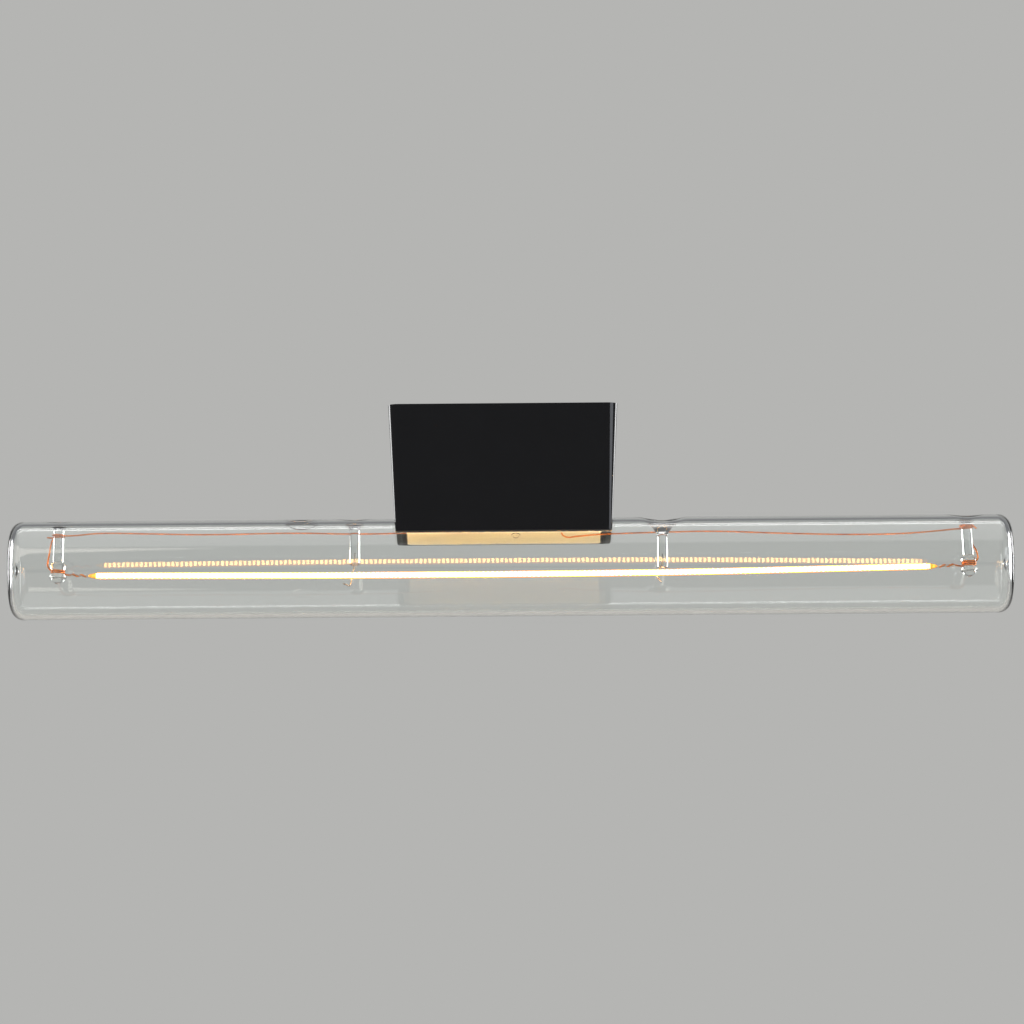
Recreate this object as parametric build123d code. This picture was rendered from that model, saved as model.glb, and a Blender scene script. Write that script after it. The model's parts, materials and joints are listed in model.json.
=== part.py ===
from build123d import *
import os
from dataclasses import dataclass
from math import cos, radians, sin, tan

# A clear tubular LED filament lamp with a saddle base on its side, plugged into its lampholder.
# Millimetres. Origin: centre of the holder's mounting face. X along the tube, Z up, -Y the front.

# Glass tube
tube_length = 300.0
tube_diameter = 29.4
glass_wall = 1.2
end_dome = 1.5              # bulge of each closed end
shoulder_radius = 4.0       # rounding between end and wall
end_pip = 1.3               # radius of the bead left inside each end by the flame
pip_skin = 0.3              # glass between that bead and the outside
axis_drop = 9.0             # tube axis below the cover's lower edge
tube_shift = 2.0            # middle of the tube along X from the middle of the holder
scar_radius = 4.4           # ring left inside the tube's top where it was pumped and sealed
scar_width = 0.7
scar_height = 0.3
scar_offset = 62.4          # from the middle of the tube towards its left end

# Glass posts fused to the inside of the tube's top
post_radius = 1.6
left_end_inset = 15.3       # end posts, from the ends of the tube
right_end_inset = 14.1
left_mid_offset = 46.5      # middle posts, from the middle of the tube
right_mid_offset = 45.3
bead_radius = 2.4           # end posts, heights from the tube axis
bead_height = 1.25
waist_radius = 1.5
waist_top = 0.1
waist_bottom = -0.85
drop_radius = 2.55
drop_height = -1.5
tip_height = -4.0
drop_fullness = 0.6         # share of the drop's radius kept at that share of its length

# LED filament and its end tabs
filament_width = 1.6        # front to back
filament_height = 1.9
left_filament_gap = 8.8     # from the end posts to the ends of the filament
right_filament_gap = 8.75
left_end_sag = 1.6          # filament below the tube axis, at its ends and at the middle posts
left_mid_sag = 2.05
right_mid_sag = 1.9
right_end_sag = 0.7
filament_bend = 400.0       # radius of its slight bends
nose_length = 2.2           # narrowing end of the filament
nose_width = 0.7            # its thickness and height at the tab
nose_height = 0.9
tab_length = 1.6
tab_width = 0.9
tab_tip = 0.55              # width where the wire meets it
tab_thickness = 0.4
tab_corner = 0.2

# Lead wires and support hooks
wire_radius = 0.25
wire_clearance = 0.05
lead_pitch = 34.0           # between the two lead-ins in the tube's top
lead_drop = 2.9             # long run of the wire below the tube's inside top
lead_back = 3.0             # long run behind the middle posts
lead_bend = 1.5
lead_sweep = 30.0           # slow bend of the wire behind a middle post
left_lead_sag = -0.4        # long run below the straight line between the posts
right_lead_sag = 1.8
sag_share = 0.62            # lowest place, as a share of the way to the end post
sag_sweep = 150.0           # slow bend there
lead_tail = 4.0             # free end past the end post
seat_radius = 2.2           # glass cone round each lead-in
seat_tip = 0.6              # glass round the wire at the cone's tip
wrap_step = 0.45            # between turns round a post
left_top_turns = 1
right_top_turns = 3
waist_turns = 2
hook_radius = 0.18
hook_root = 1.6             # from the post's tip up to the wire's end in the glass
left_hook_gap = 1.6         # from the filament up to the post's tip
right_hook_gap = 0.5
left_hook_swing = -1.0      # along X where the hook passes the filament
right_hook_swing = -1.3
left_hook_end = ((-1.6, -0.4, -3.4), (-3.5, -0.9, -2.8))    # bend and tip, from post and filament
right_hook_end = ((-1.2, 0.4, -2.2), (-0.2, -0.6, -3.3))

# Holder cover, widest at the mounting face
cover_length = 68.0
cover_depth = 34.8
cover_height = 38.0
cover_draft = 2.9           # degrees on each side
cover_wall = 1.6
cover_corner = 3.2          # rounding of the upright edges
cover_lip = 0.5             # rounding of the lower edges
tube_clearance = 0.7        # between the tube and the cover's end walls

# Socket base in the top of the cover
plate_thickness = 2.5
plate_clearance = 0.2
rim_height = 0.9            # cover's rim above the snap groove
snap_depth = 0.5            # plate's edge in the groove
mount_pitch = 51.0
mount_hole = 4.5
cable_hole = 8.0
tower_length = 15.0
tower_depth = 20.0
tower_corner = 1.0
channel_width = 8.0         # wiring channel between the towers
tower_gap = 0.8             # between the towers and the lamp's lid

# Lamp base and lid
base_height = 20.0
base_end_clearance = 1.5    # between the base and the cover's inside
base_side_clearance = 0.4
base_wall = 1.6
base_corner = 2.0
room_corner = 1.0           # rounding of the room in the base, and of what fits in it
saddle_clearance = 0.1
floor_thickness = 1.5
lid_thickness = 1.6
lid_lip = 1.2
lid_clearance = 0.15

# Contact pins, contact springs and terminal screws
pin_pitch = 23.0
pin_diameter = 3.2
pin_length = 7.0
pin_tip = 1.2
pin_flange = 4.8
pin_flange_height = 0.8
pin_shank = 2.0
pin_clearance = 0.1
pin_fit = 0.05              # between the pin and its hole in the lid
strip_thickness = 0.5
strip_width = 6.0
strip_bend = 0.8
strip_clearance = 0.3
seat_gap = 0.05             # between tower, terminal tab and screw head
mouth_flare = 0.7
tab_rise = 2.5              # contact spring above the pin's tip
terminal_tab = 8.0          # length of the terminal tab down the tower's front
terminal_tab_width = 4.4
screw_diameter = 2.6
screw_length = 6.5
screw_head = 4.4
screw_head_height = 1.7
screw_head_round = 0.55
screw_slot = 0.7
screw_clearance = 0.1

# Leaf springs that grip the sides of the lamp base
leaf_thickness = 0.4
leaf_width = 7.0
leaf_gap = 0.3
leaf_bend = 0.8
bump_clearance = 0.1
bump_depth = 5.0            # below the top of the lamp base
bump_reach = 2.5
leaf_foot = 7.2             # length of the foot under the plate
rivet_diameter = 2.4
rivet_head = 4.2
rivet_head_height = 0.9
rivet_head_round = 0.45
rivet_clearance = 0.05

# Driver board and what stands on it
board_standoff = 1.5
board_thickness = 1.2
board_ledge = 1.5
board_clearance = 0.3
solder_height = 0.6
lead_hole_clearance = 0.25
capacitor_diameter = 8.0
capacitor_height = 7.0
can_round = 0.65
can_groove = 0.5            # section radius of the crimp
can_groove_height = 1.4
package_length = 4.9
package_width = 3.9
package_height = 1.5
package_bevel = 0.25
package_row = 6.5           # packages in front of and behind the lead wires
leg_width = 0.5
leg_reach = 1.1
leg_height = 0.6
fuse_diameter = 2.6
fuse_length = 6.5
fuse_wire = 0.6
fuse_round = 0.5
choke_diameter = 5.2
choke_height = 5.0
choke_flange = 0.9
outer_row = 21.5            # fuse and choke from the middle of the board

# Worked out from the sizes above
tube_radius = tube_diameter / 2
bore_radius = tube_radius - glass_wall
axis_z = -cover_height - axis_drop
tube_left = tube_shift - tube_length / 2
tube_right = tube_shift + tube_length / 2
bore_top = axis_z + bore_radius
lead_z = bore_top - lead_drop
seat_bottom = lead_z + lead_bend + wire_clearance
hook_back = filament_width / 2 + hook_radius + wire_clearance
cover_shrink = cover_height * tan(radians(cover_draft))
inner_length = cover_length - 2 * cover_wall
inner_depth = cover_depth - 2 * cover_wall
inner_corner = cover_corner - cover_wall
mouth_length = inner_length - 2 * cover_shrink
mouth_depth = inner_depth - 2 * cover_shrink
base_length = mouth_length - 2 * base_end_clearance
base_width = mouth_depth - 2 * base_side_clearance
base_bottom = -cover_height
base_top = base_bottom + base_height
lid_bottom = base_top - lid_thickness
saddle_radius = tube_radius + saddle_clearance
floor_z = axis_z + saddle_radius + floor_thickness
board_bottom = floor_z + board_standoff
board_top = board_bottom + board_thickness
tower_bottom = base_top + tower_gap
tower_x = channel_width / 2 + tower_length / 2
pin_x = pin_pitch / 2
lead_x = lead_pitch / 2
spring_top = base_top + pin_length + tab_rise
tower_front = -tower_depth / 2
leaf_y = base_width / 2 + leaf_gap + leaf_thickness / 2
rivet_y = leaf_y - leaf_foot / 2
room_length = base_length - 2 * base_wall
room_width = base_width - 2 * base_wall
standing = (Align.CENTER, Align.CENTER, Align.MIN)
hanging = (Align.CENTER, Align.CENTER, Align.MAX)


@dataclass
class Post:
    x: float
    foot: float             # radius of the glass that spreads from the post onto the wall
    dimple_depth: float     # hollow left outside where the post was fused
    dimple_reach: float
    lean: float             # degrees, tip towards +X

    @property
    def root(self):
        return bore_top - self.dimple_depth

    def beside(self, z, out=0.0, back=0.0):
        # Point at about height z beside the leaning post, out along X and back along Y from its axis
        depth = self.root - z
        turn = radians(self.lean)
        x = self.x + out * cos(turn) + depth * sin(turn)
        return Vector(x, back, self.root + out * sin(turn) - depth * cos(turn))

    def frame(self, z):
        point = self.beside(z)
        return Pos(point.X, point.Y, point.Z) * Rot(0, -self.lean, 0)


left_end_post = Post(
    x=tube_left + left_end_inset, foot=0.9, dimple_depth=0.25, dimple_reach=4.0, lean=-1.5
)
left_mid_post = Post(
    x=tube_shift - left_mid_offset, foot=1.7, dimple_depth=0.3, dimple_reach=5.0, lean=0.0
)
right_mid_post = Post(
    x=tube_shift + right_mid_offset, foot=3.4, dimple_depth=1.5, dimple_reach=8.0, lean=0.0
)
right_end_post = Post(
    x=tube_right - right_end_inset, foot=1.0, dimple_depth=0.7, dimple_reach=6.0, lean=3.1
)
end_posts = (left_end_post, right_end_post)
mid_posts = (left_mid_post, right_mid_post)
left_filament_x = left_end_post.x + left_filament_gap
right_filament_x = right_end_post.x - right_filament_gap
left_tip = axis_z - left_mid_sag + filament_height / 2 + left_hook_gap
right_tip = axis_z - right_mid_sag + filament_height / 2 + right_hook_gap


def closed_tube(length, radius, shoulder):
    # Solid of revolution about X with slightly domed ends and rounded shoulders
    half = length / 2
    curve = (radius**2 + end_dome**2) / (2 * end_dome)
    bulge = half - curve + (curve**2 - radius**2 / 4) ** 0.5
    left = ThreePointArc((-half, 0), (-bulge, radius / 2), (end_dome - half, radius))
    top = Line((end_dome - half, radius), (half - end_dome, radius))
    right = ThreePointArc((half - end_dome, radius), (bulge, radius / 2), (half, 0))
    outline = make_face([left, top, right, Line((half, 0), (-half, 0))])
    outline = fillet(outline.vertices().group_by(Axis.Y)[-1], shoulder)
    return Pos(tube_shift, 0, axis_z) * revolve(outline, Axis.X)


def turned(*lines):
    # Solid of revolution about Z from lines drawn in the XZ plane, closed along the axis
    first = lines[0] @ 0
    last = lines[-1] @ 1
    return revolve(Plane.XZ * make_face([*lines, Line(last, first)]), Axis.Z)


def foot_lines(post):
    # Foot of a post from inside the wall down to its shaft, root at height 0
    spread = post_radius + post.foot
    sunk = post.dimple_depth + glass_wall
    return [
        Line((0, sunk), (spread, sunk)),
        Line((spread, sunk), (spread, 0)),
        RadiusArc((spread, 0), (post_radius, -post.foot), -post.foot),
    ]


def end_post_solid(post):
    # Shaft, bead, waist for the wire, and a drop at the tip
    level = axis_z - post.root
    bead = level + bead_height
    half_bead = bead_height - waist_top
    waist = level + waist_bottom
    drop = level + drop_height
    tip = level + tip_height
    drop_side = (drop_fullness * drop_radius, drop + drop_fullness * (tip - drop))
    lines = foot_lines(post) + [
        Line((post_radius, -post.foot), (post_radius, bead + half_bead)),
        Spline((post_radius, bead + half_bead), (bead_radius, bead), (waist_radius, bead - half_bead)),
        Line((waist_radius, bead - half_bead), (waist_radius, waist)),
        Spline((waist_radius, waist), (drop_radius, drop), drop_side, (0, tip)),
    ]
    return Pos(post.x, 0, post.root) * Rot(0, -post.lean, 0) * turned(*lines)


def mid_post_solid(post, tip):
    end = tip - post.root
    lines = foot_lines(post) + [
        Line((post_radius, -post.foot), (post_radius, end + post_radius)),
        RadiusArc((post_radius, end + post_radius), (0, end), -post_radius),
    ]
    socket = Cylinder(hook_radius + wire_clearance, 2 * (hook_root + wire_clearance))
    return Pos(post.x, 0, post.root) * (turned(*lines) - Pos(0, hook_back, end) * socket)


def glass_envelope():
    # The inside is cut out round everything that stands in it, which leaves one fused piece
    outer = closed_tube(tube_length, tube_radius, shoulder_radius)
    room = closed_tube(tube_length - 2 * glass_wall, bore_radius, shoulder_radius - glass_wall)
    for post in end_posts + mid_posts:
        ball = (post.dimple_reach**2 + post.dimple_depth**2) / (2 * post.dimple_depth)
        centre = Pos(post.x, 0, axis_z + tube_radius - post.dimple_depth + ball) * Rot(90, 0, 0)
        outer -= centre * Sphere(ball)
        room -= centre * Sphere(ball + glass_wall)
    pip_inset = end_pip + pip_skin
    for x in (tube_left + pip_inset, tube_right - pip_inset):
        room -= Pos(x, 0, axis_z) * Sphere(end_pip)
    for post in end_posts:
        room -= end_post_solid(post)
    room -= mid_post_solid(left_mid_post, left_tip)
    room -= mid_post_solid(right_mid_post, right_tip)
    seat_height = bore_top + glass_wall / 2 - seat_bottom
    seat = Cone(wire_radius + seat_tip, seat_radius, seat_height)
    lead_hole = Cylinder(wire_radius + wire_clearance, 2 * (seat_height + glass_wall))
    for x in (-lead_x, lead_x):
        room -= Pos(x, 0, seat_bottom + seat_height / 2) * seat
    ring = Cylinder(scar_radius + scar_width / 2, tube_radius)
    ring -= Cylinder(scar_radius - scar_width / 2, tube_radius)
    ring = Pos(tube_shift - scar_offset, 0, axis_z + tube_radius) * ring
    room -= ring - closed_tube(tube_length, bore_radius - scar_height, shoulder_radius)
    glass = outer - room
    for x in (-lead_x, lead_x):
        glass -= Pos(x, 0, bore_top) * lead_hole
    return glass


def rod(points, radii, radius):
    # Round wire along straight runs joined by tangent arcs
    path = FilletPolyline(*points, radius=radii) if radii else Line(*points)
    return sweep(Plane(origin=path @ 0, z_dir=path % 0) * Circle(radius), path=path)


def led_filament():
    # One strip with slight bends at the middle posts and a narrowing nose at each end
    path = FilletPolyline(
        (left_filament_x + nose_length, 0, axis_z - left_end_sag),
        (left_mid_post.x, 0, axis_z - left_mid_sag),
        (right_mid_post.x, 0, axis_z - right_mid_sag),
        (right_filament_x - nose_length, 0, axis_z - right_end_sag),
        radius=filament_bend,
    )
    section = Ellipse(filament_height / 2, filament_width / 2)
    nose_end = Ellipse(nose_height / 2, nose_width / 2)
    strip_start = Plane(origin=path @ 0, x_dir=(0, 0, 1), z_dir=path % 0)
    filament = sweep(strip_start * section, path=path)
    for place, along in ((path @ 0, path % 0), (path @ 1, path % 1 * -1)):
        wide = Plane(origin=place, x_dir=(0, 0, 1), z_dir=along)
        narrow = Plane(origin=place - along * nose_length, x_dir=(0, 0, 1), z_dir=along)
        filament += loft([narrow * nose_end, wide * section])
    return filament


def filament_tab(x, sag, side):
    # Flat metal end, butted against the nose of the filament and narrowing to the wire
    outline = Polyline(
        (0, -tab_width / 2),
        (tab_length, -tab_tip / 2),
        (tab_length, tab_tip / 2),
        (0, tab_width / 2),
        close=True,
    )
    tab = extrude(Plane.XZ * make_face(outline), tab_thickness / 2, both=True)
    tab = fillet(tab.edges().filter_by(Axis.Y).group_by(Axis.X)[-1], tab_corner)
    turn = Rot(0, 0, 180) if side < 0 else Rot(0, 0, 0)
    return Pos(x, 0, axis_z - sag) * turn * tab


def lead_wire(post, mid_post, top_turns, lead_sag, filament_x, sag, side):
    # From the driver board through the glass, along the tube, round the end post and to the tab
    top_wrap = post_radius + wire_radius + wire_clearance
    waist_wrap = waist_radius + wire_radius + wire_clearance
    waist_z = axis_z + (waist_top + waist_bottom) / 2
    start = Vector(side * lead_x, 0, board_top + solder_height)
    meet = post.beside(lead_z + wire_radius, back=top_wrap)
    behind = Vector(mid_post.x, lead_back, lead_z)
    lowest = behind + (meet - behind) * sag_share - Vector(0, 0, lead_sag)
    along = (meet - lowest).normalized()
    run = rod(
        [start, Vector(side * lead_x, 0, lead_z), behind, lowest, meet + along * lead_tail],
        [lead_bend, lead_sweep, sag_sweep],
        wire_radius,
    )
    for turn in range(top_turns):
        run += post.frame(lead_z - turn * wrap_step) * Torus(top_wrap, wire_radius)
    first_turn = waist_z + (waist_turns - 1) * wrap_step / 2
    for turn in range(waist_turns):
        run += post.frame(first_turn - turn * wrap_step) * Torus(waist_wrap, wire_radius)
    bow = bead_radius + 2 * wire_radius + wire_clearance
    down = [
        post.beside(lead_z, out=side * top_wrap),
        post.beside(axis_z + bead_height, out=side * bow),
        post.beside(waist_z, out=side * waist_wrap),
    ]
    run += rod(down, [lead_bend], wire_radius)
    tab_end = Vector(filament_x + side * tab_length, 0, axis_z - sag)
    return run + rod([post.beside(waist_z, out=-side * waist_wrap), tab_end], [], wire_radius)


def support_hook(post, tip, sag, swing, free_end):
    # Thin wire from a middle post's tip, down behind the filament and out below it
    filament_z = axis_z - sag
    under = filament_z - filament_height / 2 - 2 * hook_radius
    points = [
        (post.x, hook_back, tip + hook_root),
        (post.x, hook_back, tip - hook_radius),
        (post.x + swing, hook_back, filament_z),
        (post.x + swing, hook_back, under),
    ]
    points += [(post.x + x, y, filament_z + z) for x, y, z in free_end]
    bends = [2 * hook_radius] * (len(points) - 2)
    return rod(points, bends, hook_radius)


def tapered_block(length, depth, height, corner):
    # Rounded block below the mounting face that narrows downwards by the cover's draft
    face = Plane((0, 0, 0), x_dir=(1, 0, 0), z_dir=(0, 0, -1))
    return extrude(face * RectangleRounded(length, depth, corner), height, taper=cover_draft)


def holder_cover():
    # Open below for the lamp and above for the socket base, which snaps into a groove
    cover = tapered_block(cover_length, cover_depth, cover_height, cover_corner)
    cover = fillet(cover.edges().group_by(Axis.Z)[0], cover_lip)
    cover -= tapered_block(inner_length, inner_depth, cover_height, inner_corner)
    reach = 2 * (snap_depth + plate_clearance)
    groove = RectangleRounded(inner_length + reach, inner_depth + reach, inner_corner)
    groove_height = plate_thickness - rim_height + 2 * plate_clearance
    cover -= Pos(0, 0, plate_clearance - rim_height) * extrude(groove, -groove_height)
    tunnel = Rot(0, 90, 0) * Cylinder(tube_radius + tube_clearance, cover_length)
    return cover - Pos(0, 0, axis_z) * tunnel


def socket_base():
    # Plate with a stepped edge, and two towers that hold the contact springs
    rim_gap = 2 * plate_clearance
    upper = RectangleRounded(inner_length - rim_gap, inner_depth - rim_gap, inner_corner)
    lower = RectangleRounded(inner_length + 2 * snap_depth, inner_depth + 2 * snap_depth, inner_corner)
    socket = extrude(upper, -rim_height)
    socket += Pos(0, 0, -rim_height) * extrude(lower, -(plate_thickness - rim_height))
    tower_height = tower_bottom + plate_thickness
    tower = extrude(RectangleRounded(tower_length, tower_depth, tower_corner), tower_height)
    pocket_length = pin_diameter + 2 * (pin_clearance + strip_thickness + mouth_flare + strip_clearance)
    pocket_top = spring_top + strip_thickness / 2 + strip_clearance
    pocket = Box(
        pocket_length,
        strip_width + 2 * strip_clearance,
        pocket_top - tower_bottom,
        align=standing,
    )
    slot = Box(
        terminal_tab_width + 2 * strip_clearance,
        tower_depth / 2,
        strip_thickness + 2 * strip_clearance,
        align=(Align.CENTER, Align.MAX, Align.CENTER),
    )
    bore_length = screw_length + strip_clearance
    bore = Cylinder(screw_diameter / 2 + screw_clearance, bore_length, align=hanging)
    mount_bore = Cylinder(mount_hole / 2, 2 * plate_thickness)
    rivet_bore = Cylinder(rivet_diameter / 2 + rivet_clearance, 2 * plate_thickness)
    for side in (-1, 1):
        socket += Pos(side * tower_x, 0, -plate_thickness) * tower
        socket -= Pos(side * pin_x, 0, tower_bottom) * pocket
        socket -= Pos(side * pin_x, 0, spring_top) * slot
        socket -= screw_place(side) * bore
        socket -= Pos(side * mount_pitch / 2, 0, 0) * mount_bore
        socket -= Pos(0, side * rivet_y, 0) * rivet_bore
    return socket - Cylinder(cable_hole / 2, 2 * plate_thickness)


def screw_place(side):
    # Front of a contact tower at its terminal screw, looking out along -Y
    z = spring_top - terminal_tab / 2
    return Plane((side * pin_x, tower_front, z), x_dir=(1, 0, 0), z_dir=(0, -1, 0)).location


def strip(points, bend, thickness, width, plane):
    # Bent sheet strip: its middle line drawn in a plane, and its width to both sides of it
    line = FilletPolyline(*points, radius=bend)
    return extrude(plane * trace(line, thickness), width / 2, both=True)


def contact_spring(side):
    # Two leaves round the pin, and a tab over the tower's front for the terminal screw
    half = pin_diameter / 2 + pin_clearance + strip_thickness / 2
    mouth = tower_bottom + strip_clearance
    straight = mouth + 2 * mouth_flare
    leaves = [
        (-half - mouth_flare, mouth),
        (-half, straight),
        (-half, spring_top),
        (half, spring_top),
        (half, straight),
        (half + mouth_flare, mouth),
    ]
    spring = strip(leaves, strip_bend, strip_thickness, strip_width, Plane.XZ)
    front = tower_front - strip_thickness / 2 - seat_gap
    tab = [(0, spring_top), (front, spring_top), (front, spring_top - terminal_tab)]
    spring += strip(tab, strip_bend, strip_thickness, terminal_tab_width, Plane.YZ)
    hole = Cylinder(screw_diameter / 2 + strip_clearance, 4 * strip_thickness)
    return Pos(side * pin_x, 0, 0) * spring - screw_place(side) * hole


def terminal_screw(side):
    seat = strip_thickness + 2 * seat_gap
    head = Cylinder(screw_head / 2, screw_head_height, align=standing)
    head = fillet(head.edges().group_by(Axis.Z)[-1], screw_head_round)
    head -= Pos(0, 0, screw_head_height) * Box(screw_head, screw_slot, screw_head_height)
    shank = Cylinder(screw_diameter / 2, screw_length + seat, align=hanging)
    return screw_place(side) * Pos(0, 0, seat) * (head + shank)


def retaining_spring(side):
    # Leaf hung from the plate, with a bump that presses on the side of the lamp base
    foot_z = -plate_thickness - leaf_thickness / 2
    bump_y = base_width / 2 + bump_clearance + leaf_thickness / 2
    bump_z = base_top - bump_depth
    points = [
        (leaf_y - leaf_foot, foot_z),
        (leaf_y, foot_z),
        (leaf_y, bump_z + bump_reach),
        (bump_y, bump_z),
        (leaf_y, bump_z - bump_reach),
    ]
    leaf = strip(points, [leaf_bend] * 3, leaf_thickness, leaf_width, Plane.YZ)
    leaf -= Pos(0, rivet_y, foot_z) * Cylinder(rivet_diameter / 2 + rivet_clearance, 4 * leaf_thickness)
    return leaf if side > 0 else Rot(0, 0, 180) * leaf


def spring_rivet(side):
    head_top = -plate_thickness - leaf_thickness
    shank = Cylinder(rivet_diameter / 2, -head_top, align=hanging)
    head = Cylinder(rivet_head / 2, rivet_head_height, align=hanging)
    head = fillet(head.edges().group_by(Axis.Z)[0], rivet_head_round)
    return Pos(0, side * rivet_y, 0) * (shank + Pos(0, 0, head_top) * head)


def base_housing():
    # Saddle on the tube, open at the top, with a ledge for the driver board
    height = lid_bottom - base_bottom
    outline = RectangleRounded(base_length, base_width, base_corner)
    housing = Pos(0, 0, base_bottom) * extrude(outline, height)
    housing -= Pos(0, 0, axis_z) * Rot(0, 90, 0) * Cylinder(saddle_radius, base_length)
    room = extrude(RectangleRounded(room_length, room_width, room_corner), lid_bottom - board_bottom)
    housing -= Pos(0, 0, board_bottom) * room
    well = Box(
        room_length - 2 * board_ledge,
        room_width - 2 * board_ledge,
        board_standoff,
        align=standing,
    )
    housing -= Pos(0, 0, floor_z) * well
    lead_hole = Cylinder(wire_radius + lead_hole_clearance, 4 * floor_thickness)
    for x in (-lead_x, lead_x):
        housing -= Pos(x, 0, floor_z) * lead_hole
    return housing


def base_lid():
    # Top plate with a lip that locates it in the housing
    lip_length = room_length - 2 * lid_clearance
    lip_width = room_width - 2 * lid_clearance
    lid = extrude(RectangleRounded(base_length, base_width, base_corner), lid_thickness)
    lip = RectangleRounded(lip_length, lip_width, room_corner)
    lip -= RectangleRounded(lip_length - 2 * base_wall, lip_width - 2 * base_wall, room_corner)
    lid += extrude(lip, -lid_lip)
    lid = Pos(0, 0, lid_bottom) * lid
    pin_hole = Cylinder(pin_diameter / 2 + pin_fit, 4 * lid_thickness)
    for x in (-pin_x, pin_x):
        lid -= Pos(x, 0, lid_bottom) * pin_hole
    return lid


def contact_pin(side):
    # Flanged under the lid, soldered through the board below
    shank_bottom = board_bottom - solder_height
    flange_bottom = lid_bottom - pin_flange_height
    body = Cylinder(pin_diameter / 2, base_top + pin_length - lid_bottom, align=standing)
    body = Pos(0, 0, lid_bottom) * fillet(body.edges().group_by(Axis.Z)[-1], pin_tip)
    body += Pos(0, 0, flange_bottom) * Cylinder(pin_flange / 2, pin_flange_height, align=standing)
    shank = Cylinder(pin_shank / 2, flange_bottom - shank_bottom, align=standing)
    return Pos(side * pin_x, 0, 0) * (body + Pos(0, 0, shank_bottom) * shank)


def driver_board():
    length = room_length - 2 * board_clearance
    width = room_width - 2 * board_clearance
    board = extrude(RectangleRounded(length, width, room_corner), board_thickness)
    board = Pos(0, 0, board_bottom) * board
    pin_hole = Cylinder(pin_shank / 2 + pin_clearance, 4 * board_thickness)
    lead_hole = Cylinder(wire_radius + wire_clearance, 4 * board_thickness)
    for side in (-1, 1):
        board -= Pos(side * pin_x, 0, board_bottom) * pin_hole
        board -= Pos(side * lead_x, 0, board_bottom) * lead_hole
    return board


def chip_package(x, y, legs):
    # Moulded package on two rows of bent legs
    body = Pos(0, 0, leg_height / 2) * Box(package_length, package_width, package_height, align=standing)
    body = chamfer(body.edges().group_by(Axis.Z)[-1], package_bevel)
    pitch = package_length / legs
    for place in GridLocations(pitch, 1, legs, 1):
        foot = Box(leg_width, package_width + 2 * leg_reach, leg_height, align=standing)
        body += place * foot
    return Pos(x, y, board_top) * body


def buffer_capacitor():
    can = Cylinder(capacitor_diameter / 2, capacitor_height, align=standing)
    can = fillet(can.edges().group_by(Axis.Z)[-1], can_round)
    neck = Torus(capacitor_diameter / 2, can_groove)
    return Pos(0, 0, board_top) * (can - Pos(0, 0, can_groove_height) * neck)


def fuse_resistor():
    # Body lying across the board on its two bent wires
    centre = board_top + fuse_diameter / 2
    body = Rot(90, 0, 0) * Cylinder(fuse_diameter / 2, fuse_length)
    body = fillet(body.edges(), fuse_round)
    bend = fuse_length / 2 + 2 * fuse_wire
    for side in (-1, 1):
        leg = [(0, 0, 0), (0, side * bend, 0), (0, side * bend, -fuse_diameter / 2)]
        body += rod(leg, [fuse_wire], fuse_wire / 2)
    return Pos(-outer_row, 0, centre) * body


def choke_coil():
    # Dumbbell core with its winding between the flanges
    flange = Cylinder(choke_diameter / 2, choke_flange, align=standing)
    winding = Cylinder(choke_diameter / 2 - choke_flange / 2, choke_height, align=standing)
    coil = flange + winding + Pos(0, 0, choke_height - choke_flange) * flange
    return Pos(outer_row, 0, board_top) * coil


pieces = {
    "holder_cover": holder_cover(),
    "socket_base": socket_base(),
    "contact_spring_left": contact_spring(-1),
    "contact_spring_right": contact_spring(1),
    "terminal_screws": Compound(children=[terminal_screw(-1), terminal_screw(1)]),
    "retaining_spring_front": retaining_spring(-1),
    "retaining_spring_rear": retaining_spring(1),
    "spring_rivets": Compound(children=[spring_rivet(-1), spring_rivet(1)]),
    "glass_envelope": glass_envelope(),
    "led_filament": led_filament(),
    "filament_tab_left": filament_tab(left_filament_x, left_end_sag, -1),
    "filament_tab_right": filament_tab(right_filament_x, right_end_sag, 1),
    "lead_wire_left": lead_wire(
        left_end_post, left_mid_post, left_top_turns, left_lead_sag, left_filament_x, left_end_sag, -1
    ),
    "lead_wire_right": lead_wire(
        right_end_post, right_mid_post, right_top_turns, right_lead_sag, right_filament_x, right_end_sag, 1
    ),
    "support_hook_left": support_hook(
        left_mid_post, left_tip, left_mid_sag, left_hook_swing, left_hook_end
    ),
    "support_hook_right": support_hook(
        right_mid_post, right_tip, right_mid_sag, right_hook_swing, right_hook_end
    ),
    "base_housing": base_housing(),
    "base_lid": base_lid(),
    "contact_pin_left": contact_pin(-1),
    "contact_pin_right": contact_pin(1),
    "driver_board": driver_board(),
    "bridge_rectifier": chip_package(-lead_x, package_row, 2),
    "driver_chip": chip_package(lead_x, -package_row, 4),
    "buffer_capacitor": buffer_capacitor(),
    "fuse_resistor": fuse_resistor(),
    "choke_coil": choke_coil(),
}

os.makedirs("parts", exist_ok=True)
for name, piece in pieces.items():
    export_step(piece, f"parts/{name}.step")
    print(f"{name}: {piece.volume:.1f} mm3")
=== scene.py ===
import bmesh
import bpy
import json
import math
from mathutils import Matrix, Vector


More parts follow.
